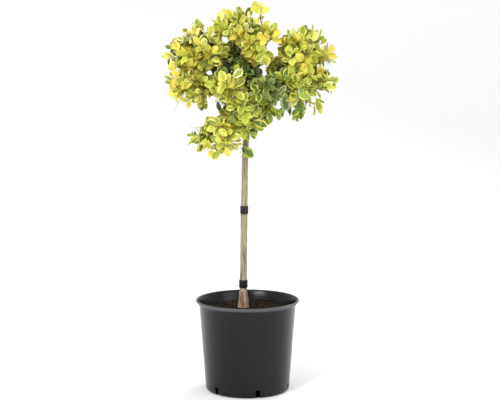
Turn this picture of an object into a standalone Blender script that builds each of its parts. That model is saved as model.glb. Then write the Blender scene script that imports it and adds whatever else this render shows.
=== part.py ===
"""A standard euonymus: a clear stem that carries a head of variegated leaves, in a black nursery pot.

Metres, +Z up. The origin is the centre of the pot's flat underside, and the plant's front faces -Y.
"""

import math
import random

import bmesh
import bpy
from mathutils import Vector

GAP = 0.0003  # clearance between two pieces that touch
MASS_CUTTER_MARGIN = 1.3  # of the gap: a slanting facet's own clearance is smaller than its corners'

# Pot: thin moulded plastic with a flared lip and slots round its bottom corner
POT_HEIGHT = 0.247
RIM_RADIUS = 0.140
LIP_DROP = 0.018  # the body ends, and the lip starts to flare, this far under the rim
LIP_BAND = 0.009  # height of the lip's outer band
LIP_BAND_LEAN = 0.005  # how far the band leans outward over that height
LIP_CURL = 0.003  # radius of the rolled edge
BODY_TOP_RADIUS = 0.130
BASE_RADIUS = 0.1135
CORNER_RADIUS = 0.009
WALL = 0.002
POT_SEGMENTS = 32
SLOT_COUNT = 6
SLOT_WIDTH = 0.012
SLOT_TOP = 0.022
SLOT_INNER_RADIUS = 0.098
SLOT_FIRST_AZIMUTH = math.radians(14)

# Soil: level round the stem, falling a little towards the wall
SOIL_LEVEL = 0.224
SOIL_EDGE_DROP = 0.004
SOIL_LEVEL_RADIUS = 0.045

# Stem: its axis leans from left of the pot's centre at the soil to the centre in the head
STEM_SIDES = 12
STEM_RINGS = 14
STEM_TOP = 0.812
STEM_FOOT = SOIL_LEVEL + GAP
STEM_AXIS = (  # height, x, y
    (STEM_FOOT, -0.0110, 0.000),
    (0.300, -0.0112, 0.001),
    (0.400, -0.0100, 0.002),
    (0.515, -0.0082, 0.001),
    (0.620, -0.0066, 0.000),
    (0.700, -0.0030, 0.000),
    (STEM_TOP, 0.0000, 0.000),
)
STEM_RADII = (  # height, radius: root flare, clear stem, then the swollen head where the boughs leave
    (STEM_FOOT, 0.0150),
    (0.234, 0.0137),
    (0.252, 0.0122),
    (0.272, 0.0099),
    (0.310, 0.0094),
    (0.500, 0.0087),
    (0.640, 0.0080),
    (0.715, 0.0079),
    (0.745, 0.0094),
    (0.790, 0.0096),
    (STEM_TOP, 0.0070),
)

# Two soft ties round the stem
TIE_HEIGHTS = (0.289, 0.490)
TIE_WIDTH = 0.022
TIE_THICKNESS = 0.0016
TIE_BULGE = (  # share of the width from its middle, and share of the thickness
    (-0.5, 0.6),
    (-0.35, 1.0),
    (0.35, 1.0),
    (0.5, 0.6),
)
TIE_SIDES = 18

# Boughs
BOUGH_SIDES = 6
BOUGH_RINGS = 5
BOUGH_END_SHARE = 0.55  # of the radius that a bough starts with
TRUNK_ROUTE_STEPS = 40

# Foliage masses: name, centre, half sizes, detail, and peaks or dents (a direction and a share of the radius)
MASSES = (
    ("skirt_left", (-0.083, -0.055, 0.686), (0.070, 0.052, 0.055), "fine",
     ((-1, 0, -0.1, 0.3), (0, 0, -1, 0.3), (0.3, -0.6, 0.9, 0.2), (0.9, 0, 0.6, -0.15))),
    ("skirt_right", (0.013, -0.052, 0.726), (0.042, 0.042, 0.046), "fine",
     ((1, -0.2, -0.05, 0.35), (-0.2, -0.3, -1, 0.3), (0.75, 0, -0.8, -0.3))),
    ("skirt_upper", (-0.011, -0.080, 0.773), (0.054, 0.045, 0.041), "medium",
     ((-0.7, -0.5, 0.1, 0.2), (0.4, -0.8, -0.6, 0.2))),
    ("centre_front", (-0.056, -0.094, 0.830), (0.053, 0.055, 0.042), "fine",
     ((-0.8, 0, -0.6, 0.25), (0.9, -0.2, 0.8, 0.3), (0, -1, 0.2, 0.25))),
    ("green_mid", (0.049, -0.074, 0.804), (0.051, 0.054, 0.043), "medium",
     ((-0.6, -0.7, 0.2, 0.25), (0.5, -0.4, -0.9, 0.25))),
    ("left_upper", (-0.137, -0.018, 0.927), (0.086, 0.076, 0.071), "fine",
     ((0.1, 0, 1, 0.65), (-1, 0, -0.35, 0.3), (-0.85, 0, 0.75, -0.15),
      (0.95, 0, 0.35, 0.2), (-0.4, -0.9, 0.1, 0.2))),
    ("left_lower", (-0.157, -0.030, 0.823), (0.052, 0.062, 0.062), "fine",
     ((0.65, 0, -1, 0.4), (-0.9, 0, 0.45, 0.15), (-0.35, 0, -1, -0.25), (-0.5, -0.8, -0.4, 0.2))),
    ("top", (-0.034, -0.005, 0.982), (0.067, 0.060, 0.043), "fine",
     ((-1, 0, 0, 0.25), (-0.7, 0, 1, 0.35), (0.2, 0, 1, 0.3), (0.2, -1, 0.2, 0.2))),
    ("top_right", (0.038, -0.030, 0.929), (0.046, 0.054, 0.057), "fine",
     ((0.8, 0, 0.7, 0.45), (0.9, 0, -0.3, -0.25), (0.3, -0.6, -0.9, 0.25))),
    ("right_upper", (0.156, -0.003, 0.917), (0.081, 0.072, 0.061), "fine",
     ((-0.55, 0, 1, 0.25), (0, 0, 1, 0.25), (0.5, 0, 0.8, 0.25), (1, 0, -0.1, 0.35), (-1, 0, 0.35, 0.25))),
    ("right_lower", (0.168, -0.028, 0.830), (0.071, 0.062, 0.047), "fine",
     ((1, 0, -0.1, 0.35), (-0.4, -0.5, -0.8, 0.25), (0.65, 0, -0.8, -0.25))),
    ("right_inner", (0.095, -0.018, 0.838), (0.043, 0.056, 0.047), "coarse",
     ((-0.6, -0.7, 0.5, 0.2), (0.2, -0.9, -0.5, 0.2))),
    ("core", (-0.012, 0.014, 0.874), (0.052, 0.054, 0.054), "coarse",
     ((-0.5, 0.3, 0.8, 0.2), (0.6, 0.4, -0.5, 0.2))),
    ("back_left", (-0.110, 0.104, 0.868), (0.080, 0.074, 0.076), "medium",
     ((-0.9, 0.5, 0.2, 0.25), (-0.2, 0.9, 0.6, 0.25), (-0.3, 0.7, -0.9, 0.25))),
    ("back_right", (0.114, 0.108, 0.856), (0.082, 0.072, 0.066), "medium",
     ((0.9, 0.5, 0.2, 0.25), (0.2, 0.9, -0.6, 0.25), (0.6, 0.7, 0.8, 0.25))),
    ("back_top", (-0.028, 0.108, 0.938), (0.074, 0.064, 0.062), "medium",
     ((0.5, 0.6, 0.9, 0.25), (-0.6, 0.8, 0.3, 0.25))),
    ("back_mid", (0.006, 0.150, 0.836), (0.066, 0.062, 0.062), "medium",
     ((0.3, 1, -0.2, 0.25), (-0.7, 0.8, -0.7, 0.25))),
    ("back_low", (-0.024, 0.070, 0.742), (0.058, 0.056, 0.058), "medium",
     ((-0.4, 0.8, -1, 0.25), (0.8, 0.6, 0.1, 0.2), (-0.9, 0.2, 0.3, 0.2))),
    ("skirt_tip", (-0.001, -0.032, 0.651), (0.021, 0.014, 0.021), "coarse",
     ((0.9, 0, -0.5, 0.3), (-0.7, 0, 0.7, 0.3))),
    ("tip_shoot", (0.031, 0.000, 1.028), (0.018, 0.014, 0.018), "coarse",
     ((-0.4, 0, 1, 0.3), (1, 0, 0.2, 0.3))),
    ("inner_tail", (0.104, -0.030, 0.770), (0.017, 0.014, 0.032), "coarse",
     ((0.3, 0, -1, 0.4),)),
    ("right_tail", (0.137, -0.030, 0.761), (0.017, 0.014, 0.034), "coarse",
     ((0.2, 0, -1, 0.3),)),
    ("far_tail", (0.189, -0.032, 0.776), (0.016, 0.013, 0.025), "coarse",
     ((0.5, 0, -1, 0.3), (-0.7, 0, 0.3, 0.3))),
    ("mid_tail", (0.073, -0.050, 0.757), (0.014, 0.012, 0.018), "coarse",
     ((0.4, 0, -1, 0.3),)),
)
PEAK_SHARPNESS = 12.0
UNEVENNESS = 0.13
LUMPS = 9
LUMP_SHARPNESS = 5.0

# Limbs: name, the limb it leaves, how far along that limb, its mass, start radius, and its climb at the start
BOUGHS = (
    ("bough_skirt_tip", "trunk", 0.775, "skirt_tip", 0.0016, -20),
    ("bough_skirt_left", "trunk", 0.865, "skirt_left", 0.0036, 25),
    ("bough_skirt_right", "trunk", 0.870, "skirt_right", 0.0028, 10),
    ("bough_skirt_upper", "trunk", 0.935, "skirt_upper", 0.0030, 20),
    ("bough_back_low", "trunk", 0.880, "back_low", 0.0032, 15),
    ("bough_left_low", "trunk", 0.915, "left_lower", 0.0045, 40),
    ("bough_left_high", "trunk", 0.970, "left_upper", 0.0052, 55),
    ("bough_front", "trunk", 0.900, "centre_front", 0.0040, 45),
    ("bough_front_right", "trunk", 0.915, "green_mid", 0.0038, 35),
    ("bough_right_low", "trunk", 0.935, "right_lower", 0.0045, 40),
    ("bough_right_high", "trunk", 0.972, "right_upper", 0.0052, 55),
    ("bough_back_left", "trunk", 0.950, "back_left", 0.0045, 50),
    ("bough_back_right", "trunk", 0.955, "back_right", 0.0045, 45),
    ("bough_back_mid", "trunk", 0.920, "back_mid", 0.0038, 40),
    ("bough_leader", "trunk", 0.999, "top", 0.0052, 88),
    ("bough_top_right", "bough_leader", 0.18, "top_right", 0.0036, 50),
    ("bough_back_top", "bough_leader", 0.25, "back_top", 0.0036, 40),
)

# A single upright twig above the crown
TOP_SHOOT = ((0.040, -0.010, 0.955), (0.036, -0.004, 0.990), (0.031, 0.000, 1.025))
TOP_SHOOT_RADIUS = 0.0018


def clear_scene():
    for obj in list(bpy.data.objects):
        bpy.data.objects.remove(obj, do_unlink=True)


def material(name, colour, roughness):
    made = bpy.data.materials.new(name)
    made.use_nodes = True
    shader = made.node_tree.nodes["Principled BSDF"]
    shader.inputs["Base Color"].default_value = (*colour, 1)
    shader.inputs["Roughness"].default_value = roughness
    shader.inputs["Metallic"].default_value = 0
    return made


def add_object(name, mesh_builder, surface, sharp_degrees=None):
    mesh = bpy.data.meshes.new(name)
    mesh_builder.to_mesh(mesh)
    mesh_builder.free()
    obj = bpy.data.objects.new(name, mesh)
    bpy.context.scene.collection.objects.link(obj)
    if surface:
        mesh.materials.append(surface)
    if sharp_degrees is not None:
        mesh.shade_smooth()
        mesh.set_sharp_from_angle(angle=math.radians(sharp_degrees))
    return obj


def as_cutter(obj):
    obj.hide_render = True
    obj.display_type = "WIRE"
    return obj


def cut(obj, cutter):
    boolean = obj.modifiers.new("cut_" + cutter.name, "BOOLEAN")
    boolean.operation = "DIFFERENCE"
    boolean.solver = "EXACT"
    boolean.object = cutter


def turned(name, outline, segments, surface):
    """A solid of revolution: outline is a closed loop of (radius, height), outer side first, going up."""
    shape = bmesh.new()
    rings = []
    for radius, height in outline:
        if radius == 0:
            rings.append([shape.verts.new((0, 0, height))])
            continue
        angles = (2 * math.pi * i / segments for i in range(segments))
        rings.append([shape.verts.new((radius * math.cos(a), radius * math.sin(a), height)) for a in angles])
    for lower, upper in zip(rings, rings[1:] + rings[:1]):
        if len(lower) == 1 and len(upper) == 1:
            continue
        for i in range(segments):
            j = (i + 1) % segments
            if len(lower) == 1:
                shape.faces.new((lower[0], upper[j], upper[i]))
            elif len(upper) == 1:
                shape.faces.new((lower[i], lower[j], upper[0]))
            else:
                shape.faces.new((lower[i], lower[j], upper[j], upper[i]))
    return add_object(name, shape, surface, sharp_degrees=40)


def arc(centre, radius, start, end, steps):
    """Points (radius, height) of an arc, with its angles in degrees from +radius."""
    angles = (math.radians(start + (end - start) * i / steps) for i in range(steps + 1))
    return [(centre[0] + radius * math.cos(a), centre[1] + radius * math.sin(a)) for a in angles]


def outer_radius(height):
    """The body's outer radius, tapering from under the lip to the bottom corner."""
    share = (height - CORNER_RADIUS) / (POT_HEIGHT - LIP_DROP - CORNER_RADIUS)
    return BASE_RADIUS + (BODY_TOP_RADIUS - BASE_RADIUS) * share


def pot(surface):
    corner = arc((BASE_RADIUS - CORNER_RADIUS, CORNER_RADIUS), CORNER_RADIUS, -90, 0, 2)
    inner_corner = arc((BASE_RADIUS - CORNER_RADIUS, CORNER_RADIUS), CORNER_RADIUS - WALL, 0, -90, 2)
    under_lip = POT_HEIGHT - LIP_DROP
    curl = arc((RIM_RADIUS - LIP_CURL, POT_HEIGHT - LIP_CURL), LIP_CURL, -30, 90, 2)
    outline = [(0, 0)]
    outline += corner
    outline += [(BODY_TOP_RADIUS, under_lip)]
    outline += [(RIM_RADIUS - LIP_BAND_LEAN, POT_HEIGHT - LIP_BAND)]
    outline += curl
    outline += [(RIM_RADIUS - LIP_CURL - WALL, POT_HEIGHT - LIP_CURL / 2)]
    outline += [(RIM_RADIUS - LIP_BAND_LEAN - WALL, POT_HEIGHT - LIP_BAND)]
    outline += [(BODY_TOP_RADIUS - WALL, under_lip)]
    outline += inner_corner
    outline += [(0, WALL)]
    body = turned("pot", outline, POT_SEGMENTS, surface)
    cut(body, slots())
    return body


def slots():
    """Six upright slots through the bottom corner, as one cutter."""
    shape = bmesh.new()
    outer = BASE_RADIUS + CORNER_RADIUS
    for i in range(SLOT_COUNT):
        azimuth = SLOT_FIRST_AZIMUTH + 2 * math.pi * i / SLOT_COUNT
        outward = Vector((math.sin(azimuth), -math.cos(azimuth), 0))
        across = Vector((math.cos(azimuth), math.sin(azimuth), 0))
        box = bmesh.ops.create_cube(shape, size=1)["verts"]
        for vert in box:
            x, y, z = vert.co
            radius = SLOT_INNER_RADIUS if y < 0 else outer
            vert.co = outward * radius + across * (x * SLOT_WIDTH)
            vert.co.z = SLOT_TOP if z > 0 else -WALL
    bmesh.ops.recalc_face_normals(shape, faces=shape.faces)
    return as_cutter(add_object("slot_cutter", shape, None))


def soil(surface):
    inset = WALL + GAP
    corner = arc((BASE_RADIUS - CORNER_RADIUS, CORNER_RADIUS), CORNER_RADIUS - inset, -90, 0, 2)
    edge_level = SOIL_LEVEL - SOIL_EDGE_DROP
    outline = [(0, inset)]
    outline += corner
    outline += [(outer_radius(edge_level) - inset, edge_level)]
    outline += [(SOIL_LEVEL_RADIUS, SOIL_LEVEL), (0, SOIL_LEVEL)]
    return turned("soil", outline, POT_SEGMENTS, surface)


def between(table, height):
    """The values of a table's rows at this height, by straight steps from row to row."""
    for low, high in zip(table, table[1:]):
        if height <= high[0]:
            break
    share = min(max((height - low[0]) / (high[0] - low[0]), 0), 1)
    return [a + (b - a) * share for a, b in zip(low[1:], high[1:])]


def stem_rings():
    """Heights of the stem's rings: closer together in the flare and in the head."""
    heights = {row[0] for row in STEM_RADII} | {row[0] for row in STEM_AXIS}
    step = (STEM_TOP - STEM_FOOT) / STEM_RINGS
    for i in range(1, STEM_RINGS):
        height = STEM_FOOT + step * i
        if min(abs(height - other) for other in heights) > step / 2:
            heights.add(height)
    return sorted(heights)


def stem_point(height):
    x, y = between(STEM_AXIS, height)
    return Vector((x, y, height))


def tube(name, points, radii, sides, surface, level_rings=False):
    """A closed tapering tube through the points. Level rings keep its cuts horizontal."""
    shape = bmesh.new()
    rings = []
    side = Vector((1, 0, 0))
    for i, (point, radius) in enumerate(zip(points, radii)):
        forward = points[min(i + 1, len(points) - 1)] - points[max(i - 1, 0)]
        forward = Vector((0, 0, 1)) if level_rings else forward.normalized()
        side = (side - forward * side.dot(forward)).normalized()
        other = forward.cross(side)
        angles = (2 * math.pi * k / sides for k in range(sides))
        spokes = (math.cos(a) * side + math.sin(a) * other for a in angles)
        rings.append([shape.verts.new(point + spoke * radius) for spoke in spokes])
    for lower, upper in zip(rings, rings[1:]):
        for k in range(sides):
            j = (k + 1) % sides
            shape.faces.new((lower[k], lower[j], upper[j], upper[k]))
    shape.faces.new(reversed(rings[0]))
    shape.faces.new(rings[-1])
    return add_object(name, shape, surface, sharp_degrees=50)


def lengthened(points, extra):
    """The same route with both of its ends drawn out by this much."""
    first = points[0] + (points[0] - points[1]).normalized() * extra
    last = points[-1] + (points[-1] - points[-2]).normalized() * extra
    return [first] + points[1:-1] + [last]


def trunk(surface):
    heights = stem_rings()
    points = [stem_point(height) for height in heights]
    radii = [between(STEM_RADII, height)[0] for height in heights]
    body = tube("trunk", points, radii, STEM_SIDES, surface, level_rings=True)
    grown = lengthened(points, GAP)
    cutter = tube("trunk_cutter", grown, [r + GAP for r in radii], STEM_SIDES, None, level_rings=True)
    return body, as_cutter(cutter)


def tie(name, middle, surface):
    """A flat band wound round the stem, a hair's breadth off the bark."""
    outer_side = [(middle + TIE_WIDTH * place, share) for place, share in TIE_BULGE]
    inner_side = [(outer_side[-1][0], 0), (outer_side[0][0], 0)]
    shape = bmesh.new()
    loops = []
    for height, share in outer_side + inner_side:
        bore = (between(STEM_RADII, height)[0] + GAP) / math.cos(math.pi / TIE_SIDES)
        radius = bore + TIE_THICKNESS * share
        centre = stem_point(height)
        angles = (2 * math.pi * k / TIE_SIDES for k in range(TIE_SIDES))
        loops.append([
            shape.verts.new(centre + Vector((radius * math.cos(a), radius * math.sin(a), 0))) for a in angles
        ])
    for lower, upper in zip(loops, loops[1:] + loops[:1]):
        for k in range(len(lower)):
            j = (k + 1) % len(lower)
            shape.faces.new((lower[k], lower[j], upper[j], upper[k]))
    return add_object(name, shape, surface, sharp_degrees=40)


def bough_points(start, heading, climb, target):
    """A limb that sets off along its heading, at its climb in degrees, and bends to end at the target."""
    reach = (target - start).length
    climb = math.radians(climb)
    flat = Vector((heading.x, heading.y, 0)).normalized()
    setting_off = (flat * math.cos(climb) + Vector((0, 0, math.sin(climb)))) * reach
    arriving = (target - start).normalized() * reach
    points = []
    for i in range(BOUGH_RINGS + 1):
        t = i / BOUGH_RINGS
        points.append(
            start * (2 * t**3 - 3 * t**2 + 1)
            + setting_off * (t**3 - 2 * t**2 + t)
            + target * (3 * t**2 - 2 * t**3)
            + arriving * (t**3 - t**2)
        )
    return points


def along(points, share):
    place = share * (len(points) - 1)
    i = min(int(place), len(points) - 2)
    return points[i].lerp(points[i + 1], place - i)


def limb(name, points, start_radius, end_radius, surface):
    radii = [start_radius + (end_radius - start_radius) * i / (len(points) - 1) for i in range(len(points))]
    body = tube(name, points, radii, BOUGH_SIDES, surface)
    cutter = tube(name + "_cutter", lengthened(points, GAP), [r + GAP for r in radii], BOUGH_SIDES, None)
    return body, as_cutter(cutter)


def boughs(surface, trunk_cutter):
    """Every bough, cut clear of the limb that carries it. Returns the objects and cutters by name."""
    centres = {name: Vector(centre) for name, centre, *_ in MASSES}
    step = (STEM_TOP - STEM_FOOT) / TRUNK_ROUTE_STEPS
    routes = {"trunk": [stem_point(STEM_FOOT + step * i) for i in range(TRUNK_ROUTE_STEPS + 1)]}
    cutters = {"trunk": trunk_cutter}
    made = {}
    for name, carrier, share, target, radius, climb in BOUGHS:
        start = along(routes[carrier], share)
        end = centres[target]
        points = bough_points(start, end - start, climb, end)
        routes[name] = points
        made[name], cutters[name] = limb(name, points, radius, radius * BOUGH_END_SHARE, surface)
        cut(made[name], cutters[carrier])
    return made, cutters


def lumpy_ball(seed_name, detail, peaks):
    """A closed uneven ball of about unit radius, in a bmesh, with blunt peaks in the given directions."""
    dice = random.Random(seed_name)
    lumps = []
    for _ in range(LUMPS):
        direction = Vector((dice.gauss(0, 1), dice.gauss(0, 1), dice.gauss(0, 1))).normalized()
        lumps.append((direction, dice.uniform(-UNEVENNESS, UNEVENNESS), LUMP_SHARPNESS))
    lumps += [(Vector(peak[:3]).normalized(), peak[3], PEAK_SHARPNESS) for peak in peaks]
    shape = bmesh.new()
    if detail == "fine":
        bmesh.ops.create_icosphere(shape, subdivisions=3, radius=1)
    elif detail == "medium":
        bmesh.ops.create_uvsphere(shape, u_segments=12, v_segments=8, radius=1)
        bmesh.ops.triangulate(shape, faces=shape.faces, quad_method="FIXED")
    else:
        bmesh.ops.create_icosphere(shape, subdivisions=2, radius=1)
    for vert in shape.verts:
        outward = vert.co.normalized()
        swell = sum(size * math.exp(sharp * (outward.dot(lump) - 1)) for lump, size, sharp in lumps)
        vert.co = outward * (1 + swell)
    return shape


def fitted(shape, centre, half):
    """Stretches the shape so that its box has this centre and these half sizes."""
    for axis in range(3):
        values = [vert.co[axis] for vert in shape.verts]
        middle = (max(values) + min(values)) / 2
        scale = 2 * half[axis] / (max(values) - min(values))
        for vert in shape.verts:
            vert.co[axis] = centre[axis] + (vert.co[axis] - middle) * scale
    return shape


def mass(name, centre, half, detail, peaks, surface):
    body = add_object(name, fitted(lumpy_ball(name, detail, peaks), centre, half), surface, sharp_degrees=180)
    grown = fitted(lumpy_ball(name, detail, peaks), centre, half)
    grown.normal_update()
    for vert, normal in [(vert, vert.normal.copy()) for vert in grown.verts]:
        vert.co += normal * GAP * MASS_CUTTER_MARGIN
    return body, as_cutter(add_object(name + "_cutter", grown, None))


def boxes_meet(first, second):
    corners = [[obj.matrix_world @ Vector(corner) for corner in obj.bound_box] for obj in (first, second)]
    for axis in range(3):
        spans = [(min(c[axis] for c in box), max(c[axis] for c in box)) for box in corners]
        if spans[0][1] < spans[1][0] or spans[1][1] < spans[0][0]:
            return False
    return True


def foliage(surface, limbs, limb_cutters):
    """The masses, each cut clear of the masses before it and of the limbs that only pass through it."""
    meets = {row[0]: {row[3]} for row in BOUGHS} | {"top_shoot": {"top_right", "tip_shoot"}}
    earlier = []
    for name, centre, half, detail, peaks in MASSES:
        body, cutter = mass(name, centre, half, detail, peaks, surface)
        for other in earlier:
            if boxes_meet(body, other):
                cut(body, other)
        for limb_name, limb_cutter in limb_cutters.items():
            if name in meets.get(limb_name, ()):
                cut(limbs[limb_name], cutter)
            elif boxes_meet(body, limb_cutter):
                cut(body, limb_cutter)
        earlier.append(cutter)


def main():
    clear_scene()
    plastic = material("pot_plastic", (0.022, 0.023, 0.026), 0.42)
    earth = material("soil_earth", (0.020, 0.016, 0.012), 0.95)
    bark = material("bark", (0.17, 0.13, 0.085), 0.85)
    tie_rubber = material("tie_rubber", (0.018, 0.020, 0.018), 0.6)
    leaves = material("leaves", (0.46, 0.48, 0.07), 0.5)

    pot(plastic)
    soil(earth)
    _, trunk_cutter = trunk(bark)
    for name, middle in zip(("tie_lower", "tie_upper"), TIE_HEIGHTS):
        tie(name, middle, tie_rubber)
    limbs, cutters = boughs(bark, trunk_cutter)
    shoot_points = [Vector(point) for point in TOP_SHOOT]
    limbs["top_shoot"], cutters["top_shoot"] = limb(
        "top_shoot", shoot_points, TOP_SHOOT_RADIUS, TOP_SHOOT_RADIUS / 2, bark
    )
    foliage(leaves, limbs, cutters)


main()
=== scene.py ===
"""A standard euonymus in a nursery pot, as it looks: bark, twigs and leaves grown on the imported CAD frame.

Metres, +Z up, in the frame's own axes. The plant's front faces -Y.
"""

import math
import random

import bmesh
import bpy
from mathutils import Matrix, Vector, noise
from mathutils.bvhtree import BVHTree


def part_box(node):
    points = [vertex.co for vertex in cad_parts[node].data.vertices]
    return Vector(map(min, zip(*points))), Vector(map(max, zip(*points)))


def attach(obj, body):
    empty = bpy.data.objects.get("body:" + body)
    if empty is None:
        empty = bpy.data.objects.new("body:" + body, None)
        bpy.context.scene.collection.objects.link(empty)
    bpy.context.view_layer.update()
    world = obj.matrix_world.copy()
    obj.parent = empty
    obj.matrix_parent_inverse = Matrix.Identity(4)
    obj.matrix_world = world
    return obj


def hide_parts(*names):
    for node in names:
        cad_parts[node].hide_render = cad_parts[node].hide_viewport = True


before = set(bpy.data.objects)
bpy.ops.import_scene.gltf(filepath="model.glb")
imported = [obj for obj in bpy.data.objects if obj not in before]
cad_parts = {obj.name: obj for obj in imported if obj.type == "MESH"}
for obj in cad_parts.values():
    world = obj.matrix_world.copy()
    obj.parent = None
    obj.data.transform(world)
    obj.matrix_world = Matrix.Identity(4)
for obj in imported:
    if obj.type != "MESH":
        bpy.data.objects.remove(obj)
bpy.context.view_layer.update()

ROOT = "root"
UP = Vector((0, 0, 1))
ANY_TURN = 6.3  # about one whole turn, in radians
SHORTEST_STEP = 1e-7  # two rings closer than this give a tube no direction
GRAIN_DARK_BELOW = 0.36  # noise between these two values blends the dark tone into the light one
GRAIN_LIGHT_ABOVE = 0.64

# Camera, fitted to the pot's rim and base and to the crown
CAMERA_PLACE = Vector((0.0068, -3.6, 0.965))
CAMERA_PITCH = math.radians(7.1)
FOCAL_PX = 1353.3
PICTURE_WIDTH = 500
PICTURE_HEIGHT = 400
SENSOR_MM = 36.0

# Floor, which bends up into a backdrop behind the plant
FLOOR_HALF_WIDTH = 6.0
FLOOR_FRONT = -6.0
BEND_START = 3.0
BEND_RADIUS = 2.0
BEND_STEPS = 12
BACKDROP_TOP = 8.0

# Lamps: name, place, what it points at, side of its square in metres, power in watts
LAMPS = (
    ("key", (-2.0, -3.2, 3.0), (0, 0, 0.8), 1.6, 105),
    ("fill", (2.6, -2.6, 2.0), (0, 0, 0.9), 2.0, 24),
    ("rear", (1.5, 2.2, 2.6), (0, 0, 0.8), 1.5, 45),
)
WORLD_STRENGTH = 0.85

# Pot, with the CAD part's own sizes
POT_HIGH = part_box("pot")[1]
POT_HEIGHT = POT_HIGH.z
RIM_RADIUS = POT_HIGH.x
LIP_DROP = 0.018  # from the rim down to the lip's lower edge
LIP_BAND = 0.009  # height of the lip's upper band
LIP_BAND_LEAN = 0.005  # how far the rim stands out past the lower edge of that band
LIP_CURL = 0.003  # radius of the rim's rolled edge
LIP_CURL_DEGREES = (-30, 90)
LIP_CURL_STEPS = 8
BODY_TOP_RADIUS = 0.130
BASE_RADIUS = 0.1135
CORNER_RADIUS = 0.009
CORNER_STEPS = 8
INNER_CORNER_STEPS = 6
WALL = 0.002
POT_SEGMENTS = 160
SHARP_DEGREES = 40  # an edge of a turned piece that bends more than this shows as an edge
SLOT_COUNT = 6
SLOT_WIDTH = 0.012
SLOT_TOP = 0.022
SLOT_INNER_RADIUS = 0.098
SLOT_FIRST_AZIMUTH = math.radians(14)

# Soil
SOIL_LEVEL = 0.224  # in the middle
SOIL_EDGE_DROP = 0.004  # how much lower it lies at the pot's wall
SOIL_FLAT_SHARE = 0.35  # share of the radius over which it doesn't fall
SOIL_RADIUS = 0.1272
SOIL_DEPTH = 0.03  # of the soil's side, below which nothing shows
SOIL_TAPER = 0.995
SOIL_RINGS = 60
SOIL_SPOKES = 180
GROUND_SLICE = 0.3  # the height at which the noise is read
GROUND_LAYERS = ((38, 0.0022), (130, 0.0016), (380, 0.0009))  # how fine and how high, coarse first
CRUMBS = 1500
CRUMB_SIZE = (0.0008, 0.0030)
CRUMB_WALL_GAP = 0.003
CRUMB_SQUASH = ((0.7, 1.5), (0.6, 1.1), (0.4, 0.8))  # least and most along X, Y and Z
CRUMB_ROUGHNESS = 0.2
CHIP_SHARE = 0.18  # share of the crumbs that are brown chips

# Ties: share of the height and of the radius, up the outside and back down the bore
TIE_PROFILE = (
    (-0.50, 0.90),
    (-0.42, 0.99),
    (-0.20, 1.00),
    (0.00, 0.975),
    (0.20, 1.00),
    (0.42, 0.99),
    (0.50, 0.90),
    (0.48, 0.80),
    (-0.48, 0.80),
)
TIE_TONES = {"tie_lower": (0.006, 0.007, 0.006), "tie_upper": (0.022, 0.017, 0.020)}
TIE_SEGMENTS = 64

# Bark
BARK_STRETCH = 0.06  # how often the grain changes along the stem, as a share of across it
FOOT_RADIUS = 0.0104  # the stem is thicker than this only in its flare, which is browner
FURROWS_ACROSS = 420
FURROWS_ALONG = 70
FURROW_HEIGHT = 0.075  # share of the radius
KNOTS_ACROSS = 90
KNOTS_ALONG = 55
KNOT_SHIFT = 9  # so that knots and furrows don't follow each other
KNOT_LEVEL = 0.15  # only noise above this makes a knot
KNOT_HEIGHT = 0.10  # share of the radius
STEM_SIDES = 40
STEM_STEPS = 14  # rings between two levels of the CAD stem
LEVEL_DIGITS = 4  # decimal places of a metre that tell the stem's levels apart
LEVEL_TOLERANCE = 0.0001
LIMB_SLICES = 9
LEAST_CORNERS = 3  # a slice with fewer isn't a ring
LIMB_SIDES = 12
LIMB_STEPS = 5
LIMB_LEAD = 0.008  # how far a limb's bark runs on into the trunk
LIMB_LEAD_SWELL = 1.25
LIMB_TAIL = 0.012  # how far it runs on into the foliage
LIMB_TAIL_TAPER = 0.85

# Tips of the sprays
TIP_SPACING = 0.0245  # least distance between two tips
TIP_DEPTH = 0.009  # of the shallowest tips under a mass's skin
TIP_TRIES = 9000
SMALL_MASS = 0.05  # a mass thinner than this is a small one
SMALL_TIP_DEPTH = 0.00405
SMALL_TIP_TRIES = 900
SHELL = 0.045  # thickness of the leafy shell
INNER_KEEP = 0.03  # share of the tips tried deeper than the shell that are kept
GAP_MARGIN = 1.0  # pixels that a tip keeps off a gap in the crown

# Twigs
NODE_STEP = 0.013  # between two leaf pairs along a shoot
FORK_BIAS = 0.25  # how much a new shoot prefers wood near the limb
SAG_SHARE = 0.07  # how far a shoot bends off its straight line, as a share of its length
SAG_DOWN = 0.8
TWIG_THINNEST = 0.0007
TWIG_THICKENING = 0.36  # power of the number of tips that a twig carries
TWIG_SIDES = 5
FORK_SWELL = 1.15  # a side twig starts at most this much thicker than it goes on
GREEN_TWIG_RADIUS = 0.00125  # twigs up to this are still green
DRY_RADIUS = 0.0006
DRY_FOOT_SWELL = 1.3
DRY_TIP_TAPER = 0.6
DRY_BOW = 0.002

# Sprays of leaves
SPRAY_PAIRS = 5
SPRAY_SIZE = (0.88, 1.12)
TONE_PAIRS = 3  # different leaves in one spray
LEAF_LENGTH = (0.025, 0.037)
LEAF_WIDTH_SHARE = (0.52, 0.66)
TIP_LEAF_SCALE = 0.72
SECOND_TRY_SCALE = 0.72  # of a leaf that doesn't fit at its full size
SIDE_SPREAD = (0.85, 1.25)  # angle between a leaf and its shoot, in radians
TIP_SPREAD = (0.45, 0.8)
PAIR_TURN_SCATTER = 0.3  # each pair stands about a quarter turn from the last one
OUTWARD_PULL = 0.25
RISE = 0.16
HANG = -0.5
FACE_ALONG = 0.6  # a leaf's face looks along its shoot, out of the crown and up
FACE_OUT = 1.1
FACE_UP = 0.5
FACE_SCATTER = 0.22
OVERHANG = 0.015  # how far a leaf may reach out of its mass
BOX_MARGIN = 0.03  # a mass whose box is further off than this isn't asked
SHADE_DEPTH = 0.030  # a spray deeper than this gets more green and dark kinds: partly the greener leaves of the shade, partly painted shade
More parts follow.
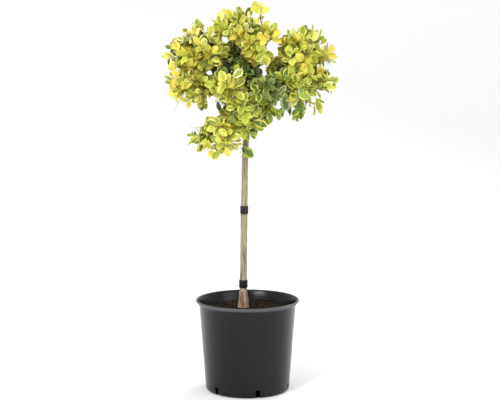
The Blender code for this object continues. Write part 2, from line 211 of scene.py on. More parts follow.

# One leaf: share of the length and of the half width, stalk first
BLADE = (
    (0.00, 0.05),
    (0.10, 0.06),
    (0.17, 0.30),
    (0.32, 0.70),
    (0.50, 0.96),
    (0.66, 0.98),
    (0.82, 0.74),
    (0.93, 0.40),
    (1.00, 0.04),
)
LEAF_DROOP = (-0.05, 0.55)
LEAF_FOLD = (0.10, 0.38)
LEAF_TWIST = (-0.25, 0.25)
MIDDLE_SPAN = (0.12, 0.95)  # share of the length over which the green middle's edge wanders
MIDDLE_WIDTH = (0.42, 0.72)  # share of the half width
STALK_MIDDLE_WIDTH = 0.4
MIDDLE_FOLD = 0.7  # the middle folds less than the margin
RIPPLE_HEIGHT = 0.05
RIPPLE_RATE = 9
CHECKED_ROWS = (3, 5, 7)  # rows and points of a leaf that have to lie where leaves may be
CHECKED_POINTS = (0, 2, 4)
LEAF_CELLS = 4  # faces across a leaf
MARGIN_CELLS = (0, 3)

# Small gaps in the crown where the background shows: name, picture column and row, radius in pixels
SKY_GAPS = (
    ("left_of_crown_middle", 226.0, 40.0, 2.5),
    ("below_dark_inside", 230.0, 71.5, 2.1),
    ("left_lobe_foot", 208.5, 73.0, 2.2),
    ("under_right_arm", 262.5, 67.0, 2.3),
    ("under_right_arm_low", 264.5, 74.0, 2.3),
    ("in_left_lobe", 186.5, 43.0, 1.2),
    ("between_arms_high", 272.0, 47.0, 5.0),
    ("between_arms_low", 276.5, 54.5, 1.8),
    ("behind_skirt_left", 221.0, 107.0, 1.8),
    ("beside_skirt_right", 279.0, 106.5, 2.2),
)

# Leaf colours
TONES = {
    "deep_gold": (0.72, 0.52, 0.050),
    "golden": (0.77, 0.66, 0.080),
    "lemon": (0.80, 0.73, 0.14),
    "lime_yellow": (0.62, 0.64, 0.090),
    "cream": (0.86, 0.81, 0.43),
    "pink_cream": (0.83, 0.60, 0.35),
    "dark_green": (0.030, 0.066, 0.018),
    "mid_green": (0.105, 0.18, 0.030),
    "lime": (0.28, 0.37, 0.045),
    "yellow_green": (0.45, 0.51, 0.060),
    "olive": (0.18, 0.205, 0.034),
    "pale_green": (0.44, 0.51, 0.21),
}
TONE_NAMES = list(TONES)
# What a spray can be: margin tones and middle tones
KINDS = {
    "gold": (
        ("golden", "lemon", "lemon", "deep_gold"),
        ("lemon", "yellow_green", "golden", "lime_yellow"),
    ),
    "lemon": (
        ("lemon", "lemon", "lime_yellow", "cream"),
        ("yellow_green", "lime_yellow", "lime", "lime_yellow"),
    ),
    "lime": (
        ("lemon", "lime_yellow", "lime_yellow"),
        ("lime", "yellow_green", "yellow_green", "olive"),
    ),
    "green": (
        ("lime_yellow", "yellow_green", "pale_green"),
        ("mid_green", "lime", "olive", "lime"),
    ),
    # The dark kind is painted shade: leaves deep in the crown, with green margins and dark green middles.
    "dark": (
        ("lime", "mid_green", "yellow_green", "olive"),
        ("dark_green", "mid_green", "dark_green", "olive"),
    ),
    "pink": (
        ("pink_cream", "cream", "golden"),
        ("cream", "lemon", "pink_cream", "lime_yellow"),
    ),
}
KIND_NAMES = list(KINDS)
# Chances of each kind on a mass's skin, in the order of KINDS. The masses behind share one row
SKIN_MIX = {
    "left_upper": (6, 4, 1.5, 0.6, 0, 0.3),
    "left_lower": (6, 6, 1.5, 0.4, 0, 0),
    "top": (2.5, 4.5, 2, 1.2, 0, 1.6),
    "top_right": (3, 4, 2, 0.5, 0, 0.8),
    "right_upper": (5, 4.5, 2, 0.8, 0, 1.0),
    "right_lower": (1.5, 3, 4, 3, 0.3, 0),
    "right_inner": (0.5, 2, 4, 4, 2, 0),
    # The core, seen through the hollow in the crown's front, is mostly of the dark kind: painted shade of
    # the crown's inside.
    "core": (0, 0, 0.2, 1, 7, 0),
    "green_mid": (0, 1, 2, 5, 3, 0),
    "centre_front": (0.9, 3, 4, 2.7, 0.8, 0),
    "skirt_upper": (0.5, 3, 4, 2.5, 0.5, 0),
    "skirt_left": (6, 4, 3, 1, 0, 0.1),
    "skirt_right": (0.5, 2, 3, 4, 2, 0),
    "skirt_tip": (0, 1, 3, 3, 0, 0),
    "tip_shoot": (1, 4, 3, 0, 0, 0),
    "inner_tail": (0, 0, 2, 4, 3, 0),
    "right_tail": (0, 1, 3, 3, 0, 0),
    "far_tail": (3, 4, 2, 0, 0, 0),
    "mid_tail": (0, 1, 2, 3, 1, 0),
    "back": (2, 4, 4, 2, 0.5, 0.1),
}
# What the crown's shade makes of those chances, partly greener leaves and partly painted shade: times this,
# plus this
SHADE_FACTORS = (0.2, 0.5, 1, 1, 1, 0)
SHADE_EXTRAS = (0, 0, 0, 2, 3, 0)
HANGING = {"inner_tail", "right_tail", "far_tail", "mid_tail", "skirt_tip"}

# Leaves that stand out in the photo: mass, column and row of the stalk's foot and of the tip, how far
# the leaf lies behind the plant's middle in metres, width in pixels, margin tone and middle tone
FEATURE_LEAVES = (
    ("tip_shoot", (256, 14), (255, 1), 0.000, 9.0, "lime_yellow", "yellow_green"),
    ("tip_shoot", (258, 13), (266, 7), -0.002, 7.0, "lemon", "golden"),
    ("tip_shoot", (259, 12), (261, 3), 0.004, 6.0, "golden", "yellow_green"),
    ("tip_shoot", (255, 20), (265, 16.5), -0.002, 3.6, "yellow_green", "lime"),
    ("top", (248.5, 19), (248.8, 11), -0.010, 3.0, "cream", "lemon"),
    ("top", (231, 20), (228, 9), -0.020, 9.0, "lemon", "lime_yellow"),
    ("top", (222, 22), (219, 11), -0.030, 9.0, "cream", "lemon"),
    ("top", (241, 20), (243, 11), -0.010, 6.0, "yellow_green", "mid_green"),
    ("top_right", (268, 32), (274, 24), -0.040, 5.0, "lime_yellow", "lime"),
    ("top_right", (271, 38), (279, 33), -0.040, 5.5, "lemon", "yellow_green"),
    ("left_upper", (197, 31), (197.4, 18.5), -0.020, 6.0, "yellow_green", "lime"),
    ("left_upper", (198, 37), (193, 27), -0.045, 9.0, "golden", "lemon"),
    ("left_upper", (173, 49), (165, 46), -0.020, 5.0, "lime", "olive"),
    ("left_upper", (173, 54), (163, 57), -0.020, 8.0, "lemon", "lime_yellow"),
    ("left_upper", (178, 64), (168, 66), -0.030, 9.0, "lemon", "lime_yellow"),
    ("left_lower", (187, 77), (175, 90), -0.060, 10.0, "lime_yellow", "yellow_green"),
    ("left_lower", (201, 97), (202, 111), -0.020, 8.0, "olive", "mid_green"),
    ("left_lower", (197, 91), (199, 104), -0.050, 8.0, "golden", "lemon"),
    ("centre_front", (232, 79), (242.5, 69), -0.120, 8.5, "cream", "lime"),
    ("centre_front", (217, 100), (220, 111), -0.050, 5.0, "mid_green", "dark_green"),
    ("right_upper", (295, 43), (293, 27), -0.010, 4.5, "pale_green", "lime_yellow"),
    ("right_upper", (297, 43), (299, 27), -0.005, 4.0, "cream", "pale_green"),
    ("right_upper", (306, 39), (305.5, 24), -0.010, 5.5, "lime", "mid_green"),
    ("right_upper", (319, 38), (322, 28), -0.010, 4.0, "cream", "lime"),
    ("right_upper", (313, 43), (316, 31), -0.030, 9.0, "pink_cream", "golden"),
    ("right_upper", (327, 53), (335, 47), -0.020, 7.0, "pink_cream", "golden"),
    ("right_upper", (327, 57), (337, 63), -0.020, 5.0, "cream", "pale_green"),
    ("right_lower", (326, 82), (336, 76.5), -0.030, 4.5, "lime_yellow", "lime"),
    ("right_lower", (321, 84), (337, 88), -0.050, 10.0, "cream", "lime_yellow"),
    ("right_lower", (312, 99), (298.5, 92), -0.080, 10.0, "lime_yellow", "lime"),
    ("far_tail", (315, 97), (323, 115), -0.032, 7.0, "lemon", "yellow_green"),
    ("far_tail", (315, 98), (325, 103), -0.030, 3.5, "lime_yellow", "lime"),
    ("right_tail", (300, 98), (299, 121), -0.040, 10.5, "lime", "mid_green"),
    ("inner_tail", (285, 93), (286, 111), -0.055, 11.0, "pale_green", "mid_green"),
    ("inner_tail", (289, 99), (290, 116), -0.025, 3.6, "mid_green", "dark_green"),
    ("mid_tail", (273, 108), (279.5, 115), -0.050, 7.0, "lime", "mid_green"),
    ("skirt_right", (251, 121), (268, 126), -0.085, 9.5, "lemon", "mid_green"),
    ("skirt_right", (251, 127), (253, 138), -0.050, 4.5, "olive", "dark_green"),
    ("skirt_tip", (240, 147), (255, 156.5), -0.035, 10.5, "yellow_green", "mid_green"),
    ("skirt_left", (201, 138), (189.5, 140.5), -0.060, 8.0, "lemon", "yellow_green"),
    ("skirt_left", (222, 151), (211.5, 158.5), -0.070, 8.5, "lime_yellow", "lime"),
    ("skirt_left", (205, 143), (196, 152), -0.060, 7.0, "lemon", "olive"),
    ("skirt_left", (210, 127), (208, 116), -0.060, 8.0, "lime_yellow", "olive"),
    ("skirt_left", (226, 146), (228, 157), -0.080, 7.0, "lemon", "golden"),
)
FEATURE_SWING = (-0.25, 0.25)  # how far such a leaf's face looks to one side of the viewer
FEATURE_TILT = 0.35

# Thin dry shoots without leaves: mass, column and row of the foot and of the tip, and how far
# the shoot lies behind the plant's middle in metres
DRY_SHOOTS = (
    ("left_lower", (182, 92), (169.5, 99.5), -0.03),
    ("left_lower", (184, 93), (173.8, 111.5), -0.03),
    ("skirt_left", (199, 131), (190, 126.6), -0.05),
)

LIMBS = sorted(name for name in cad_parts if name.startswith("bough_")) + ["top_shoot"]
OTHERS = {"pot", "soil", "trunk", "tie_lower", "tie_upper"}
MASS_NAMES = sorted(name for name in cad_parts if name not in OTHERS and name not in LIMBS)


# Materials and pieces


def plain(name, colour, roughness, specular):
    made = bpy.data.materials.new(name)
    made.use_nodes = True
    shader = made.node_tree.nodes["Principled BSDF"]
    shader.inputs["Base Color"].default_value = (*colour, 1)
    shader.inputs["Roughness"].default_value = roughness
    shader.inputs["Metallic"].default_value = 0
    shader.inputs["Specular IOR Level"].default_value = specular
    return made


def add_noise_colour(made, scale, dark, light, detail=4.0, stretch=(1, 1, 1)):
    """Colour that wanders between two tones, from the object's own coordinates."""
    tree = made.node_tree
    shader = tree.nodes["Principled BSDF"]
    place = tree.nodes.new("ShaderNodeTexCoord")
    mapping = tree.nodes.new("ShaderNodeMapping")
    mapping.inputs["Scale"].default_value = stretch
    grain = tree.nodes.new("ShaderNodeTexNoise")
    grain.inputs["Scale"].default_value = scale
    grain.inputs["Detail"].default_value = detail
    ramp = tree.nodes.new("ShaderNodeValToRGB")
    ramp.color_ramp.elements[0].position = GRAIN_DARK_BELOW
    ramp.color_ramp.elements[0].color = (*dark, 1)
    ramp.color_ramp.elements[1].position = GRAIN_LIGHT_ABOVE
    ramp.color_ramp.elements[1].color = (*light, 1)
    tree.links.new(place.outputs["Object"], mapping.inputs["Vector"])
    tree.links.new(mapping.outputs["Vector"], grain.inputs["Vector"])
    tree.links.new(grain.outputs["Fac"], ramp.inputs["Fac"])
    tree.links.new(ramp.outputs["Color"], shader.inputs["Base Color"])
    return made


def make_object(name, shape, surfaces, smooth=True, sharp_degrees=None):
    mesh = bpy.data.meshes.new(name)
    shape.to_mesh(mesh)
    shape.free()
    for surface in surfaces:
        mesh.materials.append(surface)
    obj = bpy.data.objects.new(name, mesh)
    bpy.context.scene.collection.objects.link(obj)
    if smooth:
        mesh.shade_smooth()
    if sharp_degrees:
        mesh.set_sharp_from_angle(angle=math.radians(sharp_degrees))
    return obj


def placed(obj, slot, *nodes):
    """The piece rides on the part's one body and stands for these CAD nodes. The slot is not used."""
    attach(obj, ROOT)
    if nodes:
        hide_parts(*nodes)


# Pot, soil and ties


def turned(name, outline, segments, surfaces):
    """The closed outline of radius and height, turned once round Z."""
    shape = bmesh.new()
    rings = []
    for radius, height in outline:
        if radius == 0:
            rings.append([shape.verts.new((0, 0, height))])
            continue
        angles = (2 * math.pi * i / segments for i in range(segments))
        ring = [shape.verts.new((radius * math.cos(a), radius * math.sin(a), height)) for a in angles]
        rings.append(ring)
    for lower, upper in zip(rings, rings[1:] + rings[:1]):
        if len(lower) == 1 and len(upper) == 1:
            continue
        for i in range(segments):
            j = (i + 1) % segments
            if len(lower) == 1:
                shape.faces.new((lower[0], upper[j], upper[i]))
            elif len(upper) == 1:
                shape.faces.new((lower[i], lower[j], upper[0]))
            else:
                shape.faces.new((lower[i], lower[j], upper[j], upper[i]))
    return make_object(name, shape, surfaces, sharp_degrees=SHARP_DEGREES)


def arc(centre, radius, start, end, steps):
    """Points from the start angle to the end angle, in degrees."""
    angles = (math.radians(start + (end - start) * i / steps) for i in range(steps + 1))
    return [(centre[0] + radius * math.cos(a), centre[1] + radius * math.sin(a)) for a in angles]


def slot_cutter():
    """Blocks where the drain slots go through the pot's bottom corner."""
    shape = bmesh.new()
    outer = BASE_RADIUS + CORNER_RADIUS
    for i in range(SLOT_COUNT):
        azimuth = SLOT_FIRST_AZIMUTH + 2 * math.pi * i / SLOT_COUNT
        outward = Vector((math.sin(azimuth), -math.cos(azimuth), 0))
        across = Vector((math.cos(azimuth), math.sin(azimuth), 0))
        for vert in bmesh.ops.create_cube(shape, size=1)["verts"]:
            x, y, z = vert.co
            radius = SLOT_INNER_RADIUS if y < 0 else outer
            vert.co = outward * radius + across * (x * SLOT_WIDTH)
            vert.co.z = SLOT_TOP if z > 0 else -WALL
    bmesh.ops.recalc_face_normals(shape, faces=shape.faces)
    cutter = make_object("slot_cutter", shape, [], smooth=False)
    cutter.hide_render = True
    cutter.display_type = "WIRE"
    return cutter


def pot_outline():
    """Up the outside from the middle of the base, over the rim and down the inside."""
    corner_centre = (BASE_RADIUS - CORNER_RADIUS, CORNER_RADIUS)
    curl_centre = (RIM_RADIUS - LIP_CURL, POT_HEIGHT - LIP_CURL)
    under_lip = POT_HEIGHT - LIP_DROP
    outline = [(0, 0)]
    outline += arc(corner_centre, CORNER_RADIUS, -90, 0, CORNER_STEPS)
    outline += [(BODY_TOP_RADIUS, under_lip)]
    outline += [(RIM_RADIUS - LIP_BAND_LEAN, POT_HEIGHT - LIP_BAND)]
    outline += arc(curl_centre, LIP_CURL, *LIP_CURL_DEGREES, LIP_CURL_STEPS)
    outline += [(RIM_RADIUS - LIP_CURL - WALL, POT_HEIGHT - LIP_CURL / 2)]
    outline += [(RIM_RADIUS - LIP_BAND_LEAN - WALL, POT_HEIGHT - LIP_BAND)]
    outline += [(BODY_TOP_RADIUS - WALL, under_lip)]
    outline += arc(corner_centre, CORNER_RADIUS - WALL, 0, -90, INNER_CORNER_STEPS)
    outline += [(0, WALL)]
    return outline


def pot():
    plastic = plain("pot_plastic", (0.0045, 0.005, 0.0068), roughness=0.25, specular=0.27)
    # The lip's outer band is a lighter grey than the pot: a painted highlight where the rolled rim catches
    # the light from above.
    rim_painted_highlight = plain("pot_rim", (0.070, 0.070, 0.073), roughness=0.42, specular=0.5)
    body = turned("pot_shell", pot_outline(), POT_SEGMENTS, [plastic, rim_painted_highlight])
    # Faces of the lip's outer band, above the band's lower edge, take the rim's painted highlight.
    for face in body.data.polygons:
        outwards = Vector((face.center.x, face.center.y)).length
        outer_face = outwards > RIM_RADIUS - LIP_BAND_LEAN - WALL / 2
        if outer_face and face.center.z > POT_HEIGHT - LIP_BAND:
            face.material_index = 1
    boolean = body.modifiers.new("slots", "BOOLEAN")
    boolean.operation = "DIFFERENCE"
    boolean.solver = "EXACT"
    boolean.object = slot_cutter()
    placed(body, "pot_plastic", "pot")


def ground_height(x, y, share):
    """Height of the soil's surface at this place, that share of the way from the middle to the wall."""
    fall = SOIL_EDGE_DROP * max(0, (share - SOIL_FLAT_SHARE) / (1 - SOIL_FLAT_SHARE))
    here = Vector((x, y, GROUND_SLICE))
    rough = sum(noise.noise(here * fineness) * height for fineness, height in GROUND_LAYERS)
    return SOIL_LEVEL - fall + rough


def soil():
    """The rough surface with a short side wall and a flat underside, and the crumbs on it."""
    earth = plain("soil_earth", (0.010, 0.008, 0.006), roughness=0.95, specular=0.05)
    add_noise_colour(earth, scale=160, dark=(0.005, 0.004, 0.003), light=(0.026, 0.019, 0.013))
    shape = bmesh.new()
    top = []
    for r in range(1, SOIL_RINGS + 1):
        radius = SOIL_RADIUS * r / SOIL_RINGS
        ring = []
        for s in range(SOIL_SPOKES):
            angle = 2 * math.pi * s / SOIL_SPOKES
            x, y = radius * math.cos(angle), radius * math.sin(angle)
            ring.append(shape.verts.new((x, y, ground_height(x, y, r / SOIL_RINGS))))
        top.append(ring)
    middle = shape.verts.new((0, 0, SOIL_LEVEL))
    bottom = SOIL_LEVEL - SOIL_DEPTH
    low = [shape.verts.new((v.co.x * SOIL_TAPER, v.co.y * SOIL_TAPER, bottom)) for v in top[-1]]
    foot = shape.verts.new((0, 0, bottom))
    for inner, outer in zip(top, top[1:]):
        for s in range(SOIL_SPOKES):
            t = (s + 1) % SOIL_SPOKES
            shape.faces.new((inner[s], outer[s], outer[t], inner[t]))
    for s in range(SOIL_SPOKES):
        t = (s + 1) % SOIL_SPOKES
        shape.faces.new((middle, top[0][s], top[0][t]))
        shape.faces.new((top[-1][t], top[-1][s], low[s], low[t]))
        shape.faces.new((foot, low[t], low[s]))
    placed(make_object("soil_surface", shape, [earth]), "soil_earth", "soil")
    crumbs(earth)


def crumbs(earth):
    """Squashed lumps of soil and brown chips, strewn over the surface."""
    dice = random.Random("crumbs")
    chip = plain("soil_chip", (0.050, 0.033, 0.020), roughness=0.9, specular=0.1)
    shape = bmesh.new()
    for _ in range(CRUMBS):
        radius = (SOIL_RADIUS - CRUMB_WALL_GAP) * math.sqrt(dice.random())
        angle = dice.uniform(0, 2 * math.pi)
        x, y = radius * math.cos(angle), radius * math.sin(angle)
        place = Vector((x, y, ground_height(x, y, radius / SOIL_RADIUS)))
        size = dice.uniform(*CRUMB_SIZE)
        verts = bmesh.ops.create_icosphere(shape, subdivisions=1, radius=1)["verts"]
        squash = Vector([dice.uniform(*span) for span in CRUMB_SQUASH])
        turn = Matrix.Rotation(dice.uniform(0, ANY_TURN), 3, "Z")
        slot = 1 if dice.random() < CHIP_SHARE else 0
        for vert in verts:
            co = vert.co * (1 + dice.uniform(-CRUMB_ROUGHNESS, CRUMB_ROUGHNESS))
            co = Vector((co.x * squash.x, co.y * squash.y, co.z * squash.z)) * size
            vert.co = turn @ co + place
            for face in vert.link_faces:
                face.material_index = slot
    placed(make_object("soil_crumbs", shape, [earth, chip], smooth=False), "soil_earth")


def tie(name):
    """A band round the stem that fills the CAD tie's box."""
    low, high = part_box(name)
    centre = (low + high) / 2
    radius = (high.x - low.x) / 2
    height = high.z - low.z
    band = plain(name + "_band", TIE_TONES[name], roughness=0.55, specular=0.25)
    outline = [(radius * out, height * up) for up, out in TIE_PROFILE]
    obj = turned(name + "_wrap", outline, TIE_SEGMENTS, [band])
    for vert in obj.data.vertices:
        vert.co += centre
    placed(obj, "tie_rubber", name)


# Bark


def limb_rings(name):
    """Centres and radii of slices across a limb's length, from one end to the other."""
    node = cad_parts[name]
    points = [node.matrix_world @ v.co for v in node.data.vertices]
    far = max(points, key=lambda p: (p - points[0]).length)
    other = max(points, key=lambda p: (p - far).length)
    axis = (far - other).normalized()
    values = [p.dot(axis) for p in points]
    low, high = min(values), max(values)
    slices = [[] for _ in range(LIMB_SLICES)]
    for p, value in zip(points, values):
        place = int((value - low) / (high - low) * LIMB_SLICES)
        slices[min(place, LIMB_SLICES - 1)].append(p)
    rings = []
    for group in slices:
        if len(group) < LEAST_CORNERS:
            continue
        centre = sum(group, Vector()) / len(group)
        reaches = ((p - centre - axis * (p - centre).dot(axis)).length for p in group)
        rings.append((centre, sum(reaches) / len(group)))
    return rings


def stem_rings():
    """The mean of the CAD stem's corners at each of its levels, and their mean distance from it."""
    corners = [v.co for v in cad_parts["trunk"].data.vertices]
    rings = []
    for level in sorted({round(p.z, LEVEL_DIGITS) for p in corners}):
        group = [p for p in corners if abs(p.z - level) < LEVEL_TOLERANCE]
        centre = sum(group, Vector()) / len(group)
        rings.append((centre, sum((p - centre).length for p in group) / len(group)))
    return rings


def more_rings(rings, steps):
    """More rings along the same route, by straight steps."""
    out = []
    for (a, ra), (b, rb) in zip(rings, rings[1:]):
        for i in range(steps):
            t = i / steps
            out.append((a.lerp(b, t), ra + (rb - ra) * t))
    return out + [rings[-1]]


def skin(shape, rings, sides, relief, slot_of):
    """A closed tube through the rings, added to the shape.

    relief(centre, outward, radius) says how far the surface stands off the radius there, and
    slot_of(radius) which of the piece's materials it has.
    """
    loops = []
    side = Vector((1, 0, 0))
    for i, (centre, radius) in enumerate(rings):
        forward = rings[min(i + 1, len(rings) - 1)][0] - rings[max(i - 1, 0)][0]
        forward = forward.normalized() if forward.length > SHORTEST_STEP else UP
        side = (side - forward * side.dot(forward)).normalized()
        other = forward.cross(side)
        loop = []
        for k in range(sides):
            angle = 2 * math.pi * k / sides
            outward = math.cos(angle) * side + math.sin(angle) * other
            out = radius + relief(centre, outward, radius)
            loop.append(shape.verts.new(centre + outward * out))
        loops.append(loop)
    for (_, radius), lower, upper in zip(rings, loops, loops[1:]):
        for k in range(sides):
            j = (k + 1) % sides
            face = shape.faces.new((lower[k], lower[j], upper[j], upper[k]))
            face.material_index = slot_of(radius)
    shape.faces.new(reversed(loops[0]))
    shape.faces.new(loops[-1])


def no_relief(centre, outward, radius):
    return 0.0


def bark_noise(here, across, along, shift=0):
    return noise.noise(Vector((here.x * across, here.y * across, here.z * along + shift)))


def bark_relief(centre, outward, radius):
    """Fine furrows along the stem, with a knot here and there."""
    here = centre + outward * radius
    furrow = bark_noise(here, FURROWS_ACROSS, FURROWS_ALONG)
    knots = bark_noise(here, KNOTS_ACROSS, KNOTS_ALONG, KNOT_SHIFT)
    return radius * (FURROW_HEIGHT * furrow + KNOT_HEIGHT * max(0, knots - KNOT_LEVEL))


def bark_material(name, scale, dark, light):
    made = plain(name, light, roughness=0.82, specular=0.3)
    return add_noise_colour(made, scale, dark, light, detail=5.0, stretch=(1, 1, BARK_STRETCH))


def trunk():
    shape = bmesh.new()
    rings = more_rings(stem_rings(), STEM_STEPS)
    skin(shape, rings, STEM_SIDES, bark_relief, lambda radius: 1 if radius > FOOT_RADIUS else 0)
    bark = bark_material("stem_bark", scale=300, dark=(0.15, 0.108, 0.062), light=(0.45, 0.388, 0.255))
    foot = bark_material("stem_foot", scale=170, dark=(0.20, 0.105, 0.045), light=(0.50, 0.41, 0.29))
    placed(make_object("stem_bark_piece", shape, [bark, foot]), "bark", "trunk")


def boughs():
    """One piece of bark for all limbs. Returns the places where the limbs end."""
    shape = bmesh.new()
    ends = []
    for name in LIMBS:
        rings = limb_rings(name)
        trunk_side = min(rings, key=lambda ring: ring[0].xy.length)
        if trunk_side is rings[-1]:
            rings.reverse()
        first, first_radius = rings[0]
        last, last_radius = rings[-1]
        lead = first + (first - rings[1][0]).normalized() * LIMB_LEAD
        tail = last + (last - rings[-2][0]).normalized() * LIMB_TAIL
        rings.insert(0, (lead, first_radius * LIMB_LEAD_SWELL))
        rings.append((tail, last_radius * LIMB_TAIL_TAPER))
        ends.append(tail)
        skin(shape, more_rings(rings, LIMB_STEPS), LIMB_SIDES, bark_relief, lambda radius: 0)
    bark = bark_material("bough_bark", scale=230, dark=(0.050, 0.036, 0.022), light=(0.20, 0.150, 0.085))
    placed(make_object("bough_bark_piece", shape, [bark]), "bark", *LIMBS)
    return ends


# Places in the photo and in the crown


def picture_place(point):
    """Where the point is seen in the photo: column and row."""
    away = point - CAMERA_PLACE
    depth = away.y * math.cos(CAMERA_PITCH) - away.z * math.sin(CAMERA_PITCH)
    rise = away.y * math.sin(CAMERA_PITCH) + away.z * math.cos(CAMERA_PITCH)
    return (
        PICTURE_WIDTH / 2 + FOCAL_PX * away.x / depth,
        PICTURE_HEIGHT / 2 - FOCAL_PX * rise / depth,
    )


def seen_at(column, row, behind):
    """The place that the photo shows at this column and row, that far behind the plant's middle."""
    across = (column - PICTURE_WIDTH / 2) / FOCAL_PX
    up = (PICTURE_HEIGHT / 2 - row) / FOCAL_PX
    cosine, sine = math.cos(CAMERA_PITCH), math.sin(CAMERA_PITCH)
    ahead = behind - CAMERA_PLACE.y
    rise = ahead * (up * cosine - sine) / (cosine + up * sine)
    depth = ahead * cosine - rise * sine
    return Vector((CAMERA_PLACE.x + across * depth, behind, CAMERA_PLACE.z + rise))


def in_sky_gap(point, margin=0.0):
    column, row = picture_place(point)
    return any(math.hypot(column - x, row - y) < radius + margin for _, x, y, radius in SKY_GAPS)


class Mass:
    """A CAD mass, asked whether a point is inside it and how deep."""

    def __init__(self, name):
        self.name = name
        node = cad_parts[name]
        points = [node.matrix_world @ v.co for v in node.data.vertices]
        self.tree = BVHTree.FromPolygons(points, [list(p.vertices) for p in node.data.polygons])
        self.low, self.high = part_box(name)
        self.centre = (self.low + self.high) / 2

    def depth(self, point):
        """Distance under the skin, negative outside."""
        near, normal, _, distance = self.tree.find_nearest(point)
        return distance if (point - near).dot(normal) < 0 else -distance

    def is_near(self, point):
        return all(self.low[k] - BOX_MARGIN < point[k] < self.high[k] + BOX_MARGIN for k in range(3))


def crown_depth(point, masses):
    """How deep the point lies in the mass that holds it deepest, negative outside all of them."""
    return max((mass.depth(point) for mass in masses if mass.is_near(point)), default=-1)


# Twigs


def pick_tips(mass, dice):
    """Places for the tips of a mass's sprays, each with its depth under the skin."""
    size = mass.high - mass.low
    small = min(size) < SMALL_MASS
    shallow = SMALL_TIP_DEPTH if small else TIP_DEPTH
    tips = []
    for _ in range(SMALL_TIP_TRIES if small else TIP_TRIES):
        point = Vector([mass.low[k] + dice.random() * size[k] for k in range(3)])
        depth = mass.depth(point)
        if depth < shallow:
            continue
        if depth > SHELL and dice.random() > INNER_KEEP:
            continue
        if in_sky_gap(point, GAP_MARGIN):
            continue
        if any((point - other).length < TIP_SPACING for other, _ in tips):
            continue
        tips.append((point, depth))
    return tips


def random_vector(dice):
    return Vector((dice.gauss(0, 1), dice.gauss(0, 1), dice.gauss(0, 1)))


def grow(root, tips, dice):
    """Joins every tip to the wood already grown near it.

    Returns the wood as nodes of point and parent, and for each tip its node and its depth.
    """
    nodes = [(root, None)]
    spray_ends = []
    for tip, depth in sorted(tips, key=lambda item: (item[0] - root).length):
        parent = min(
            range(len(nodes)),
            key=lambda i: (nodes[i][0] - tip).length + FORK_BIAS * (nodes[i][0] - root).length,
        )
        start = nodes[parent][0]
        reach = (tip - start).length
        steps = max(2, round(reach / NODE_STEP))
        scatter = (dice.gauss(0, 1), dice.gauss(0, 1), dice.gauss(0, 1) - SAG_DOWN)
        sag = Vector(scatter) * reach * SAG_SHARE
        for i in range(1, steps + 1):
            t = i / steps
            nodes.append((start.lerp(tip, t) + sag * math.sin(math.pi * t), parent))
            parent = len(nodes) - 1
        spray_ends.append((parent, depth))
    return nodes, spray_ends


def twig_radii(nodes):
    """A radius for each node, from the number of shoot tips that it carries."""
    parents = {parent for _, parent in nodes}
    load = [0 if i in parents else 1 for i in range(len(nodes))]
    for i in range(len(nodes) - 1, 0, -1):
        load[nodes[i][1]] += load[i]
    return [TWIG_THINNEST * tips**TWIG_THICKENING for tips in load]


def twig_mesh(shape, nodes, radii):
    """Each twig as a run of tapering tubes from a fork to a tip."""
    children = {}
    for i, (_, parent) in enumerate(nodes):
        children.setdefault(parent, []).append(i)
    starts = [(0, None)]
    while starts:
        i, before = starts.pop()
        run = [i] if before is None else [before, i]
        while children.get(run[-1]):
            branch = children[run[-1]]
            main = max(branch, key=lambda c: radii[c])
            starts += [(c, run[-1]) for c in branch if c != main]
            run.append(main)
        if len(run) < 2:
            continue
        rings = [(nodes[k][0], radii[k]) for k in run]
        rings[0] = (rings[0][0], min(rings[0][1], rings[1][1] * FORK_SWELL))
        skin(shape, rings, TWIG_SIDES, no_relief, lambda radius: 0 if radius > GREEN_TWIG_RADIUS else 1)


def dry_shoots(shape, name):
    for mass, foot, tip, behind in DRY_SHOOTS:
        if mass != name:
            continue
        start = seen_at(*foot, behind)
        end = seen_at(*tip, behind)
        middle = (start + end) / 2 + UP * DRY_BOW
        radii = (DRY_RADIUS * DRY_FOOT_SWELL, DRY_RADIUS, DRY_RADIUS * DRY_TIP_TAPER)
        rings = list(zip((start, middle, end), radii))
        skin(shape, rings, TWIG_SIDES, no_relief, lambda radius: 1)


# Leaves


def leaf_rows(base, along, face_up, length, width, dice):
    """Rows of five points across a folded, drooping and slightly wavy leaf, from its stalk to its tip."""
    along = along.normalized()
    face_up = (face_up - along * face_up.dot(along)).normalized()
    side = along.cross(face_up)
    droop = dice.uniform(*LEAF_DROOP)
    fold = dice.uniform(*LEAF_FOLD)
    twist = dice.uniform(*LEAF_TWIST)
    wave = dice.uniform(0, ANY_TURN)
    rows = []
    point = Vector(base)
    before = 0.0
    for share, half in BLADE:
        bend = droop * share
        heading = along * math.cos(bend) - face_up * math.sin(bend)
        point = point + heading * ((share - before) * length)
        before = share
        across = Matrix.Rotation(twist * share, 3, heading) @ side
        lift = across.cross(heading)
        if lift.dot(face_up) < 0:
            lift = -lift
        out = half * width / 2
        on_blade = MIDDLE_SPAN[0] < share < MIDDLE_SPAN[1]
        inner = dice.uniform(*MIDDLE_WIDTH) if on_blade else STALK_MIDDLE_WIDTH
        inner_lift = lift * out * inner * fold * MIDDLE_FOLD
        ripple = RIPPLE_HEIGHT * width * math.sin(wave + share * RIPPLE_RATE)
        row = [
            point - across * out + lift * (out * fold + ripple),
            point - across * out * inner + inner_lift,
            point.copy(),
            point + across * out * inner + inner_lift,
            point + across * out + lift * (out * fold - ripple),
        ]
        rows.append(row)
    return rows


